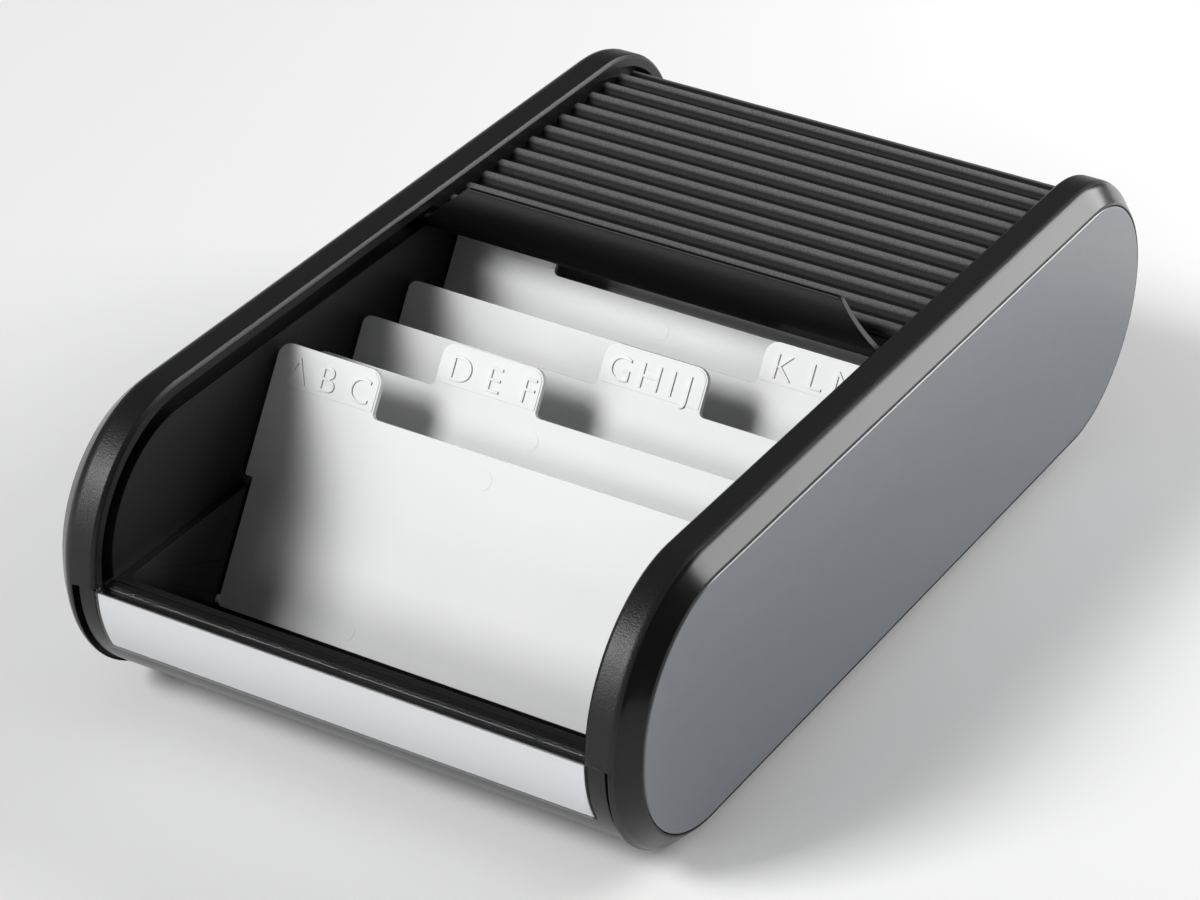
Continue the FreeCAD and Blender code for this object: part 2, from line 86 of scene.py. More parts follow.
class Shader:
    """A material's node tree with its Principled shader, and short ways to add to it."""

    def __init__(self, name: str) -> None:
        """Starts an empty material.

        Args:
            name: the material's name.
        """
        self.material = bpy.data.materials.new(name)
        self.material.use_nodes = True
        self.nodes = self.material.node_tree.nodes
        self.links = self.material.node_tree.links
        self.surface = self.nodes["Principled BSDF"]

    def set(self, **values: object) -> None:
        """Sets constant sockets of the surface.

        Args:
            **values: socket name, with underscores for spaces, to its value.
        """
        for key, value in values.items():
            self.surface.inputs[key.replace("_", " ")].default_value = value

    def add(self, kind: str, inputs: dict[str, object] | None = None, **settings: object) -> bpy.types.Node:
        """Adds a node.

        Args:
            kind: the node type without its ShaderNode prefix.
            inputs: socket name to a value or to the output socket that feeds it.
            **settings: the node's own properties.

        Returns:
            The new node.
        """
        node = self.nodes.new(f"ShaderNode{kind}")
        for key, value in settings.items():
            setattr(node, key, value)
        for key, value in (inputs or {}).items():
            if isinstance(value, bpy.types.NodeSocket):
                self.links.new(value, node.inputs[key])
            else:
                node.inputs[key].default_value = value
        return node

    def feed(self, socket: str, source: bpy.types.NodeSocket) -> None:
        """Links an output to one of the surface's sockets.

        Args:
            socket: the surface's socket.
            source: the output that feeds it.
        """
        self.links.new(source, self.surface.inputs[socket])

    def place(self) -> bpy.types.NodeSocket:
        """Finds the place on the drawer.

        Returns:
            Object coordinates, which are the drawer's own metres.
        """
        return self.add("TexCoord").outputs["Object"]

    def noise(self, size: float, detail: float = 2.0, rough: float = 0.5) -> bpy.types.NodeSocket:
        """Noise between 0 and 1.

        Args:
            size: width of one blob in metres.
            detail: octaves of finer noise.
            rough: share of the finer octaves.

        Returns:
            The noise's value socket.
        """
        inputs = {"Vector": self.place(), "Scale": 1 / size, "Detail": detail, "Roughness": rough}
        return self.add("TexNoise", inputs).outputs["Fac"]

    def spread(self, source: bpy.types.NodeSocket, ends: Range) -> bpy.types.NodeSocket:
        """Maps 0 to 1 onto a range.

        Args:
            source: the value from 0 to 1.
            ends: what 0 and 1 become.

        Returns:
            The mapped value's socket.
        """
        inputs = {"Value": source, "To Min": ends[0], "To Max": ends[1]}
        return self.add("MapRange", inputs).outputs["Result"]

    def compute(self, operation: str, *values: object) -> bpy.types.NodeSocket:
        """Works out one sum.

        Args:
            operation: the kind of sum.
            *values: numbers, or outputs that feed it.

        Returns:
            The result's socket.
        """
        return self.add("Math", dict(enumerate(values)), operation=operation).outputs[0]

    def blend(self, amount: bpy.types.NodeSocket, low: Colour, high: Colour) -> bpy.types.NodeSocket:
        """Mixes two colours.

        Args:
            amount: 0 for the first colour, 1 for the second.
            low: the first colour.
            high: the second colour.

        Returns:
            The mixed colour's socket.
        """
        node = self.add("Mix", {"Factor": amount}, data_type="RGBA")
        node.inputs[6].default_value = (*low, 1)
        node.inputs[7].default_value = (*high, 1)
        return node.outputs[2]

    def bump(self, height: bpy.types.NodeSocket, depth: float) -> None:
        """Roughens the surface's normal.

        Args:
            height: the height pattern, from 0 to 1.
            depth: the height of 1 in metres.
        """
        node = self.add("Bump", {"Height": height, "Distance": depth, "Strength": 1.0})
        self.feed("Normal", node.outputs["Normal"])


@dataclass
class Workpiece:
    """One mesh on the bench: shaped in edit mode, finished with modifiers, then fitted to the drawer."""

    item: bpy.types.Object

    @staticmethod
    def clear() -> None:
        """Leaves edit mode and deselects everything."""
        if bpy.context.object and bpy.context.object.mode != "OBJECT":
            bpy.ops.object.mode_set(mode="OBJECT")
        bpy.ops.object.select_all(action="DESELECT")

    @classmethod
    def named(cls, name: str) -> "Workpiece":
        """Takes the object that was just added or joined and names it.

        Args:
            name: the piece's name.

        Returns:
            The piece.
        """
        item = bpy.context.object
        item.name = name
        item.data.name = name
        return cls(item)

    @classmethod
    def block(cls, name: str, low: Point, high: Point) -> "Workpiece":
        """Starts from a block.

        Args:
            name: the piece's name.
            low: its lowest corner.
            high: its highest corner.

        Returns:
            The block as a workpiece.
        """
        cls.clear()
        low, high = Vector(low), Vector(high)
        bpy.ops.mesh.primitive_cube_add(size=1, location=(low + high) / 2)
        bpy.context.object.scale = high - low
        bpy.ops.object.transform_apply(location=True, rotation=True, scale=True)
        return cls.named(name)

    @classmethod
    def disc(cls, name: str, radius: float, depth: float, place: Point, sides: int) -> "Workpiece":
        """Starts from an upright round bar.

        Args:
            name: the piece's name.
            radius: its radius.
            depth: its height.
            place: its middle.
            sides: how many flats stand for the round.

        Returns:
            The bar as a workpiece.
        """
        cls.clear()
        bpy.ops.mesh.primitive_cylinder_add(vertices=sides, radius=radius, depth=depth, location=place)
        bpy.ops.object.transform_apply(location=True, rotation=True, scale=True)
        return cls.named(name)

    @classmethod
    def moulding(cls, node: str, whole: bool) -> "Workpiece":
        """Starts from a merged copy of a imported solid's mesh.

        Args:
            node: the solid's node.
            whole: whether its flat faces are joined up again, which suits faces without holes.

        Returns:
            The copy as a workpiece.
        """
        cls.clear()
        item = bpy.data.objects.new(f"{node}_eased", frame["nodes"][node].data.copy())
        bpy.context.collection.objects.link(item)
        piece = cls(item)
        piece.take()
        bpy.ops.mesh.customdata_custom_splitnormals_clear()
        piece.edit()
        bpy.ops.mesh.select_all(action="SELECT")
        bpy.ops.mesh.remove_doubles(threshold=MERGE)
        if whole:
            bpy.ops.mesh.dissolve_limited(angle_limit=FLAT)
        return piece

    def take(self) -> None:
        """Makes this piece the only selected and active one, in object mode."""
        self.clear()
        self.item.select_set(True)
        bpy.context.view_layer.objects.active = self.item

    def edit(self) -> None:
        """Opens the piece in edit mode."""
        self.take()
        bpy.ops.object.mode_set(mode="EDIT")

    def pick(self, test: Callable[[Vector, Vector], bool]) -> None:
        """Selects faces in edit mode.

        Args:
            test: says from a face's middle and normal whether it is wanted.
        """
        bpy.ops.mesh.select_mode(type="FACE")
        bpy.ops.mesh.select_all(action="DESELECT")
        mesh = bmesh.from_edit_mesh(self.item.data)
        for face in mesh.faces:
            face.select_set(test(face.calc_center_median(), face.normal))
        bmesh.update_edit_mesh(self.item.data)

    def pick_edges(self, test: Callable[[Vector], bool]) -> None:
        """Selects edges in edit mode.

        Args:
            test: says whether a place is wanted; an edge is taken if both its ends are.
        """
        bpy.ops.mesh.select_mode(type="EDGE")
        bpy.ops.mesh.select_all(action="DESELECT")
        mesh = bmesh.from_edit_mesh(self.item.data)
        for edge in mesh.edges:
            edge.select_set(all(test(vertex.co) for vertex in edge.verts))
        bmesh.update_edit_mesh(self.item.data)

    def round_corner(self, x: float, y: float, radius: float) -> None:
        """Rounds the upright edge that stands at one place, in edit mode.

        Args:
            x: the edge's place across.
            y: its place upwards.
            radius: the rounding's radius.
        """
        self.pick_edges(lambda at: abs(at.x - x) < MERGE and abs(at.y - y) < MERGE)
        facets = max(LEAST_FACETS, round(radius / CORNER_FACET))
        bpy.ops.mesh.bevel(offset=radius, segments=facets, affect="EDGES", clamp_overlap=False)

    @staticmethod
    def extrude(by: Point) -> None:
        """Extrudes the selected faces, in edit mode.

        Args:
            by: how far they move.
        """
        bpy.ops.mesh.extrude_region_move(TRANSFORM_OT_translate={"value": by})

    @classmethod
    def joined(cls, parts: list["Workpiece"], name: str) -> "Workpiece":
        """Joins parts into one mesh.

        Args:
            parts: what is joined.
            name: the joined piece's name.

        Returns:
            The joined piece.
        """
        cls.clear()
        for part in parts:
            part.item.select_set(True)
        bpy.context.view_layer.objects.active = parts[0].item
        bpy.ops.object.join()
        return cls.named(name)

    def copy(self, name: str) -> "Workpiece":
        """Makes a copy with its own mesh.

        Args:
            name: the copy's name.

        Returns:
            The copy.
        """
        item = bpy.data.objects.new(name, self.item.data.copy())
        item.data.name = name
        bpy.context.collection.objects.link(item)
        return Workpiece(item)

    def cut(self, tool: "Workpiece") -> None:
        """Cuts another piece's shape out of this one and throws the tool away.

        Args:
            tool: the piece that is cut out.
        """
        self.modify("BOOLEAN", operation="DIFFERENCE", object=tool.item, solver="EXACT")
        bpy.data.objects.remove(tool.item)

    def settle(self, place: Matrix) -> None:
        """Moves the mesh and leaves the object at the origin, unturned.

        Args:
            place: where the mesh goes.
        """
        self.take()
        self.item.matrix_world = place
        bpy.ops.object.transform_apply(location=True, rotation=True, scale=True)

    def modify(self, kind: str, **settings: object) -> None:
        """Adds one modifier and applies it.

        Args:
            kind: the modifier type.
            **settings: its properties.
        """
        self.take()
        modifier = self.item.modifiers.new(kind.lower(), kind)
        for key, value in settings.items():
            setattr(modifier, key, value)
        bpy.ops.object.modifier_apply(modifier=modifier.name)

    def ease(self, width: float, segments: int = 2, angle: float = EASE_ANGLE) -> None:
        """Rounds every edge that is sharper than an angle.

        Args:
            width: how far the rounding reaches.
            segments: facets across it.
            angle: the least angle in degrees.
        """
        self.modify(
            "BEVEL", width=width, segments=segments, limit_method="ANGLE",
            angle_limit=math.radians(angle), use_clamp_overlap=False, face_strength_mode="FSTR_ALL",
        )

    def smooth(self) -> None:
        """Shades the dull edges smoothly, with the large faces keeping their own normals."""
        self.take()
        bpy.ops.object.shade_smooth_by_angle(angle=math.radians(SMOOTH_ANGLE))
        self.modify("WEIGHTED_NORMAL", keep_sharp=True, use_face_influence=True)

    def fit(self, look: Look, body: str, material: bpy.types.Material, *nodes: str) -> None:
        """Gives the piece its finish, its body and the nodes that it stands for.

        Args:
            look: the finish's slot.
            body: the body that it moves with.
            material: the finish.
            *nodes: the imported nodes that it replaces.
        """
        self.clear()
        self.item.data.materials.clear()
        self.item.data.materials.append(material)
        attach(self.item, body)
        if nodes:
            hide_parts(*nodes)
        LOG.info("%s finished in %s, on %s", self.item.name, look.value, body)


@dataclass
class Assembly:
    """What every sub-assembly shares: the finishes and the way a moulding gets its eased edges.

    Attributes:
        materials: each slot's finish.
    """

    materials: dict[Look, bpy.types.Material]

    def dress(self, piece: Workpiece, look: Look, body: str, *nodes: str) -> None:
        """Fits a piece with the finish of its slot.

        Args:
            piece: the piece.
            look: the finish's slot.
            body: the body that it moves with.
            *nodes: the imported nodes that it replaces.
        """
        piece.fit(look, body, self.materials[look], *nodes)

    def eased(
        self, node: str, width: float, segments: int = 2, body: str = "housing", whole: bool = False
    ) -> None:
        """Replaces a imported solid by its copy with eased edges.

        Args:
            node: the solid's node.
            width: how far the easing reaches.
            segments: facets across it.
            body: the body that it moves with.
            whole: whether its flat faces are joined up first.
        """
        piece = Workpiece.moulding(node, whole)
        piece.ease(width, segments)
        piece.smooth()
        self.dress(piece, LOOK_OF[node], body, node)


@dataclass(frozen=True)
class GrainedPlastic:
    """Moulded plastic with a fine spark-eroded grain."""

    look: Look
    dark: Colour
    light: Colour
    roughness: Range
    grain: float
    depth: float
    specular: float
    cloud: float = 40.0  # how much wider than the grain the polish varies

    def build(self) -> bpy.types.Material:
        """Makes the material.

        Returns:
            The finish.
        """
        shader = Shader(self.look.value)
        fine = shader.noise(self.grain, detail=3.0, rough=0.6)
        cloud = shader.noise(self.grain * self.cloud, detail=3.0)
        shader.feed("Base Color", shader.blend(fine, self.dark, self.light))
        shader.feed("Roughness", shader.spread(cloud, self.roughness))
        shader.set(Specular_IOR_Level=self.specular)
        shader.bump(fine, self.depth)
        return shader.material


@dataclass(frozen=True)
class RimPlastic:
    """Black cheek moulding: grained on the rim band and the inside, polished on the outer chamfer."""

    look: Look = Look.CHEEK
    band_edge: float = 63.85 * MM
    wall_edge: float = 57.3 * MM
    colour: Colour = (0.003, 0.003, 0.003)
    speck: Colour = (0.016, 0.016, 0.017)
    roughness: Range = (0.22, 0.36)  # on the chamfer, on the band
    specular: Range = (0.34, 0.2)  # outside, inside
    grain: float = 0.45 * MM
    depth: float = 0.07 * MM

    def build(self) -> bpy.types.Material:
        """Makes the material.

        Returns:
            The finish.
        """
        shader = Shader(self.look.value)
        across = shader.add("SeparateXYZ", {"Vector": shader.place()}).outputs["X"]
        out = shader.compute("ABSOLUTE", across)
        band = shader.compute("LESS_THAN", out, self.band_edge)
        fine = shader.noise(self.grain, detail=3.0, rough=0.65)
        speckled = shader.compute("MULTIPLY", fine, band)
        shader.feed("Base Color", shader.blend(speckled, self.colour, self.speck))
        inside = shader.compute("LESS_THAN", out, self.wall_edge)
        shader.feed("Roughness", shader.spread(band, self.roughness))
        shader.feed("Specular IOR Level", shader.spread(inside, self.specular))
        shader.bump(speckled, self.depth)
        return shader.material


@dataclass(frozen=True)
class RibPlastic:
    """Black slat plastic with a painted highlight on the rib crests and painted shade in the valleys,
    speckled by real grain; V of its UV map is the height on a rib.
    """

    look: Look = Look.SHUTTER
    valley: Colour = (0.016, 0.016, 0.016)
    # painted highlight: the colour that the crests are painted, to look lit
    crest_highlight: Colour = (0.27, 0.27, 0.275)
    flank: Range = (0.55, 1.0)  # heights between which the painted crest highlight sets in
    roughness: Range = (0.45, 0.6)
    specular: float = 0.12
    grain: float = 0.5 * MM
    depth: float = 0.1 * MM

    def build(self) -> bpy.types.Material:
        """Makes the material.

        Returns:
            The finish.
        """
        shader = Shader(self.look.value)
        up = shader.add("SeparateXYZ", {"Vector": shader.add("TexCoord").outputs["UV"]}).outputs["Y"]
        # Painted light: from the height on the rib, the crests are coloured lighter and the valleys left
        # dark, standing in for light on the crests and shade in the valleys; the fine noise adds real grain
        # speckle
        inputs = {"Value": up, "From Min": self.flank[0], "From Max": self.flank[1]}
        crest_highlight = shader.add("MapRange", inputs, interpolation_type="SMOOTHSTEP").outputs["Result"]
        fine = shader.noise(self.grain, detail=3.0, rough=0.65)
        speckled_crest_light = shader.compute("MULTIPLY", fine, crest_highlight)
        shader.feed("Base Color", shader.blend(speckled_crest_light, self.valley, self.crest_highlight))
        shader.feed("Roughness", shader.spread(fine, self.roughness))
        shader.set(Specular_IOR_Level=self.specular)
        shader.bump(fine, self.depth)
        return shader.material


@dataclass(frozen=True)
class SideLacquer:
    """Satin grey lacquer of the side plates, with a faint cloudiness."""

    look: Look = Look.SIDE
    deep: Colour = (0.114, 0.128, 0.152)
    pale: Colour = (0.126, 0.140, 0.164)
    roughness: Range = (0.3, 0.36)
    coat: float = 0.6
    coat_roughness: float = 0.2
    cloud: float = 30 * MM
    ripple: float = 4 * MM
    grain: float = 0.3 * MM
    depth: float = 0.004 * MM

    def build(self) -> bpy.types.Material:
        """Makes the material.

        Returns:
            The finish.
        """
        shader = Shader(self.look.value)
        shader.feed("Base Color", shader.blend(shader.noise(self.cloud), self.deep, self.pale))
        shader.feed("Roughness", shader.spread(shader.noise(self.ripple, detail=4.0), self.roughness))
        shader.set(Coat_Weight=self.coat, Coat_Roughness=self.coat_roughness)
        shader.bump(shader.noise(self.grain), self.depth)
        return shader.material


@dataclass(frozen=True)
class ClearPlastic:
    """Clear cover: what lies behind shows through, and its skin mirrors more the flatter it is seen."""

    look: Look = Look.WINDOW
    mirror: float = 0.04
    falloff: float = 5.0
    tint: Colour = (0.96, 0.965, 0.97)
    skin: Colour = (0.9, 0.9, 0.9)
    roughness: Range = (0.12, 0.18)
    scuff: float = 5 * MM

    def build(self) -> bpy.types.Material:
        """Makes the material.

        Returns:
            The finish.
        """
        shader = Shader(self.look.value)
        scuffs = shader.noise(self.scuff, detail=5.0)
        through = shader.add("BsdfTransparent", {"Color": (*self.tint, 1)})
        shader.set(Base_Color=(*self.skin, 1), Metallic=1.0)
        shader.feed("Roughness", shader.spread(scuffs, self.roughness))
        facing = shader.add("LayerWeight", {"Blend": 0.5}).outputs["Facing"]
        steep = shader.compute("POWER", facing, self.falloff)
        share = shader.spread(steep, (self.mirror, 1.0))
        mixed = shader.add("MixShader", {0: share, 1: through.outputs[0], 2: shader.surface.outputs[0]})
        shader.links.new(mixed.outputs[0], shader.nodes["Material Output"].inputs["Surface"])
        return shader.material


@dataclass(frozen=True)
class Card:
    """Uncoated white card with paper fibre."""

    look: Look = Look.LABEL
    shade: Colour = (0.74, 0.745, 0.75)
    light: Colour = (0.82, 0.82, 0.825)
    roughness: float = 0.8
    grain: float = 0.25 * MM
    depth: float = 0.01 * MM

    def build(self) -> bpy.types.Material:
        """Makes the material.

        Returns:
            The finish.
        """
        shader = Shader(self.look.value)
        fibre = shader.noise(self.grain, detail=4.0, rough=0.7)
        shader.feed("Base Color", shader.blend(fibre, self.shade, self.light))
        shader.set(Roughness=self.roughness)
        shader.bump(fibre, self.depth)
        return shader.material


@dataclass(frozen=True)
class WhiteStyrene:
    """White divider plastic, semi-gloss."""

    look: Look = Look.DIVIDER
    shade: Colour = (0.71, 0.715, 0.72)
    light: Colour = (0.76, 0.763, 0.767)
    roughness: Range = (0.28, 0.36)
    flow: float = 25 * MM
    ripple: float = 3 * MM
    grain: float = 0.5 * MM
    depth: float = 0.006 * MM

    def build(self) -> bpy.types.Material:
        """Makes the material.

        Returns:
            The finish.
        """
        shader = Shader(self.look.value)
        shader.feed("Base Color", shader.blend(shader.noise(self.flow), self.shade, self.light))
        shader.feed("Roughness", shader.spread(shader.noise(self.ripple, detail=3.0), self.roughness))
        shader.bump(shader.noise(self.grain), self.depth)
        return shader.material


@dataclass(frozen=True)
class ZincPlate:
    """Zinc-plated screw steel, slightly uneven."""

    look: Look = Look.SCREW
    dull: Colour = (0.42, 0.42, 0.43)
    bright: Colour = (0.6, 0.6, 0.6)
    roughness: Range = (0.25, 0.45)
    patch: float = 0.8 * MM

    def build(self) -> bpy.types.Material:
        """Makes the material.

        Returns:
            The finish.
        """
        shader = Shader(self.look.value)
        patch = shader.noise(self.patch, detail=3.0)
        shader.feed("Base Color", shader.blend(patch, self.dull, self.bright))
        shader.feed("Roughness", shader.spread(patch, self.roughness))
        shader.set(Metallic=1.0)
        return shader.material


TRAY_PLASTIC = GrainedPlastic(
    Look.TRAY, dark=(0.003, 0.003, 0.003), light=(0.007, 0.007, 0.007),
    roughness=(0.22, 0.32), grain=0.5 * MM, depth=0.01 * MM, specular=0.5,
)
PANEL_PLASTIC = GrainedPlastic(
    Look.PANEL, dark=(0.003, 0.003, 0.003), light=(0.006, 0.006, 0.006),
    roughness=(0.22, 0.3), grain=0.6 * MM, depth=0.008 * MM, specular=0.4,
)
HANDLE_PLASTIC = GrainedPlastic(
    Look.HANDLE, dark=(0.002, 0.002, 0.002), light=(0.005, 0.005, 0.005),
    roughness=(0.36, 0.44), grain=0.6 * MM, depth=0.008 * MM, specular=0.15,
)
FOOT_RUBBER = GrainedPlastic(
    Look.FOOT, dark=(0.02, 0.02, 0.02), light=(0.035, 0.035, 0.035),
    roughness=(0.7, 0.85), grain=0.4 * MM, depth=0.03 * MM, specular=0.5,
)
FINISHES = (
    RimPlastic(), SideLacquer(), TRAY_PLASTIC, PANEL_PLASTIC, ClearPlastic(), Card(), RibPlastic(),
    HANDLE_PLASTIC, WhiteStyrene(), FOOT_RUBBER, ZincPlate(),
)
LOOK_OF = {part["node"]: Look(part["material_slot"]) for part in frame["record"]["subparts"]}


@dataclass
class Housing(Assembly):
    """What stays put: cheeks, side plates, tray, base, screws and feet."""

    cheek_ease: float = 0.3 * MM
    rim_edge: float = 63.8 * MM
    rim_round: float = 1.4 * MM
    rim_facets: int = 4
    plate_ease: float = 0.18 * MM
    tray_ease: float = 0.2 * MM
    foot_ease: float = 0.5 * MM
    foot_facets: int = 3
    screw_ease: float = 0.12 * MM
    screw_shank: float = 1.45 * MM
    screw_head: float = 2.8 * MM
    recess: Range = (1.5 * MM, 0.35 * MM)  # half the length and half the width of one arm
    recess_depth: float = 1.2 * MM
    base_places: tuple[Range, ...] = ((-42, -74), (42, -74), (-42, -52), (42, -52))

    def cheek(self, node: str) -> None:
        """Finishes one cheek, with a wider rounding where its rim meets the outer chamfer.

        Args:
            node: the cheek's node.
        """
        cheek = Workpiece.moulding(node, whole=False)
        cheek.pick_edges(lambda at: abs(abs(at.x) - self.rim_edge) < MERGE)
        bpy.ops.mesh.bevel(
            offset=self.rim_round, segments=self.rim_facets, affect="EDGES", clamp_overlap=False
        )
        cheek.ease(self.cheek_ease)
        cheek.smooth()
        self.dress(cheek, Look.CHEEK, "housing", node)

    def base_screws(self) -> None:
        """Models one countersunk screw with a cross recess and sets a copy at each place under the base."""
        low, high = (corner.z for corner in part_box("base_screws"))
        cone = self.screw_head - self.screw_shank
        middle = (0, 0, (low + cone + high) / 2)
        length = high - low - cone
        screw = Workpiece.disc("screw_pattern", self.screw_shank, length, middle, ROUND_SIDES)
        screw.edit()
        screw.pick(lambda at, normal: normal.z < -FACING)
        screw.extrude((0, 0, -cone))
        ratio = self.screw_head / self.screw_shank
        bpy.ops.transform.resize(value=(ratio, ratio, 1))
        for arm in (self.recess, self.recess[::-1]):
            top = (*arm, low + self.recess_depth)
            screw.cut(Workpiece.block("cutter", (-arm[0], -arm[1], low - self.recess_depth), top))
        screw.ease(self.screw_ease)
        copies = []
        for x, y in self.base_places:
            copies.append(screw.copy("countersunk_screws"))
            copies[-1].settle(Matrix.Translation((x * MM, y * MM, 0)))
        bpy.data.objects.remove(screw.item)
        screws = Workpiece.joined(copies, "countersunk_screws")
        screws.smooth()
        self.dress(screws, Look.SCREW, "housing", "base_screws")

    def build(self) -> None:
        """Finishes both sides, the tray and what is underneath."""
        for side in ("left", "right"):
            self.cheek(f"{side}_cheek")
            self.eased(f"{side}_side_plate", self.plate_ease, whole=True)
            self.eased(f"{side}_cheek_screws", self.screw_ease)
            for end in ("front", "rear"):
                self.eased(f"{end}_{side}_foot", self.foot_ease, self.foot_facets)
        self.eased("card_tray", self.tray_ease)
        self.eased("base_plate", self.tray_ease)
        self.base_screws()


@dataclass
class LabelFront(Assembly):
    """Front panel, blank label and clear window."""

    panel_ease: float = 0.35 * MM
    panel_facets: int = 3
    window_ease: float = 0.15 * MM
    card_gap: float = 0.03 * MM

    def build(self) -> None:
        """Finishes the panel, the window and the label behind it."""
        self.eased("front_panel", self.panel_ease, self.panel_facets)
        self.eased("label_window", self.window_ease, whole=True)
        card = Workpiece.moulding("label_card", whole=False)
        bpy.ops.mesh.select_all(action="SELECT")
        bpy.ops.transform.shrink_fatten(value=-self.card_gap)
        card.smooth()
        self.dress(card, Look.LABEL, "housing", "label_card")


@dataclass
class Shutter(Assembly):
    """Ribbed slats on their track, and the handle in front of them."""

    lift: float = 1.4 * MM
    height: float = 67.0 * MM
    bend_y: float = 86.5 * MM
    bend_z: float = 33.5 * MM
    track_inset: float = 5.4 * MM
    start: float = 12.4 * MM
    pitch: float = 13.6 * MM
    count: int = 16
    seam: float = 0.35 * MM
    half_width: float = 56.5 * MM
    web: float = 1.2 * MM
    rib_pitch: float = 6.8 * MM
    rib_half: float = 2.3 * MM
    rib_height: float = 1.5 * MM
    rib_steps: int = 7
    fillet: float = 0.25 * MM
    fillet_angle: float = 32.0
    handle_ease: float = 0.12 * MM
    handle_facets: int = 3
    linked: int = 12

    def track(self, travel: float) -> Vector:
        """Point of the shutter's path: along the top, round the back bend, then forwards underneath.

        Args:
            travel: distance along the path from above the drawer's middle.

        Returns:
            The point, in the middle plane.
        """
        radius = self.bend_z - self.track_inset
        if travel <= self.bend_y:
            return Vector((0, travel, self.height - self.track_inset + self.lift))
        turned = (travel - self.bend_y) / radius
        if turned <= math.pi:
            across, up = radius * math.sin(turned), radius * math.cos(turned)
            return Vector((0, self.bend_y + across, self.bend_z + up + self.lift))
        past = travel - self.bend_y - math.pi * radius
        return Vector((0, self.bend_y - past, self.track_inset + self.lift))

    def pattern(self) -> Workpiece:
        """Models one slat, lying flat at the origin: a thin web with two round ribs.

        Returns:
            The slat, whose UV map's V is the height on a rib.
        """
        half = (self.pitch - self.seam) / 2
        face = self.web / 2
        corner = Vector((self.half_width, half, face))
        slat = Workpiece.block("slat_pattern", -corner, corner)
        slat.edit()
        ribs = (-self.rib_pitch / 2, self.rib_pitch / 2)
        for edge in [rib + side * self.rib_half for rib in ribs for side in (-1, 1)]:
            bpy.ops.mesh.select_all(action="SELECT")
            bpy.ops.mesh.bisect(plane_co=(0, edge, 0), plane_no=(0, 1, 0))
        radius = (self.rib_half**2 + self.rib_height**2) / (2 * self.rib_height)
        sweep = math.asin(self.rib_half / radius)
        for rib in ribs:
            slat.pick(lambda at, normal: normal.z > FACING and abs(at.y - rib) < self.rib_half / 2)
            wide, high = self.rib_half, 0.0
            for step in range(1, self.rib_steps + 1):
                angle = sweep * (1 - step / (self.rib_steps + 0.5))  # the last step leaves a narrow flat
                next_wide = radius * math.sin(angle)
                next_high = self.rib_height - radius * (1 - math.cos(angle))
                slat.extrude((0, 0, next_high - high))
                bpy.ops.transform.resize(value=(1, next_wide / wide, 1), center_override=(0, rib, 0))
                wide, high = next_wide, next_high
        slat.ease(self.fillet, angle=self.fillet_angle)
        slat.smooth()
        mesh = slat.item.data
        # V carries the height on a rib, from which the slat material paints the crests lighter as a painted
        # highlight
        for corner, mapped in zip(mesh.loops, mesh.uv_layers.active.data):
            at = mesh.vertices[corner.vertex_index].co
            mapped.uv = (0.5 + at.x / (2 * self.half_width), (at.z - face) / self.rib_height)
        return slat

    def slat_bodies(self) -> list[str]:
        """Lists the bodies that carry the slats.

        Returns:
            Body of each slat, from the handle backwards.
        """
        links = [f"shutter_link_{number:02d}" for number in range(1, self.linked + 1)]
        return links + ["shutter_tail"] * (self.count - self.linked)

    def build(self) -> None:
        """Copies the pattern slat to every place on the track and finishes the handle."""
        pattern = self.pattern()
        for index, body in enumerate(self.slat_bodies()):
            number = f"{index + 1:02d}"
            slat = pattern.copy(f"ribbed_slat_{number}")
            start = self.track(self.start + index * self.pitch)
            end = self.track(self.start + (index + 1) * self.pitch)
            slope = math.atan2(end.z - start.z, end.y - start.y)
            slat.settle(Matrix.Translation((start + end) / 2) @ Matrix.Rotation(slope, 4, "X"))
            self.dress(slat, Look.SHUTTER, body, f"shutter_slat_{number}")
        bpy.data.objects.remove(pattern.item)
        self.eased("shutter_handle", self.handle_ease, self.handle_facets, "shutter_front", whole=True)


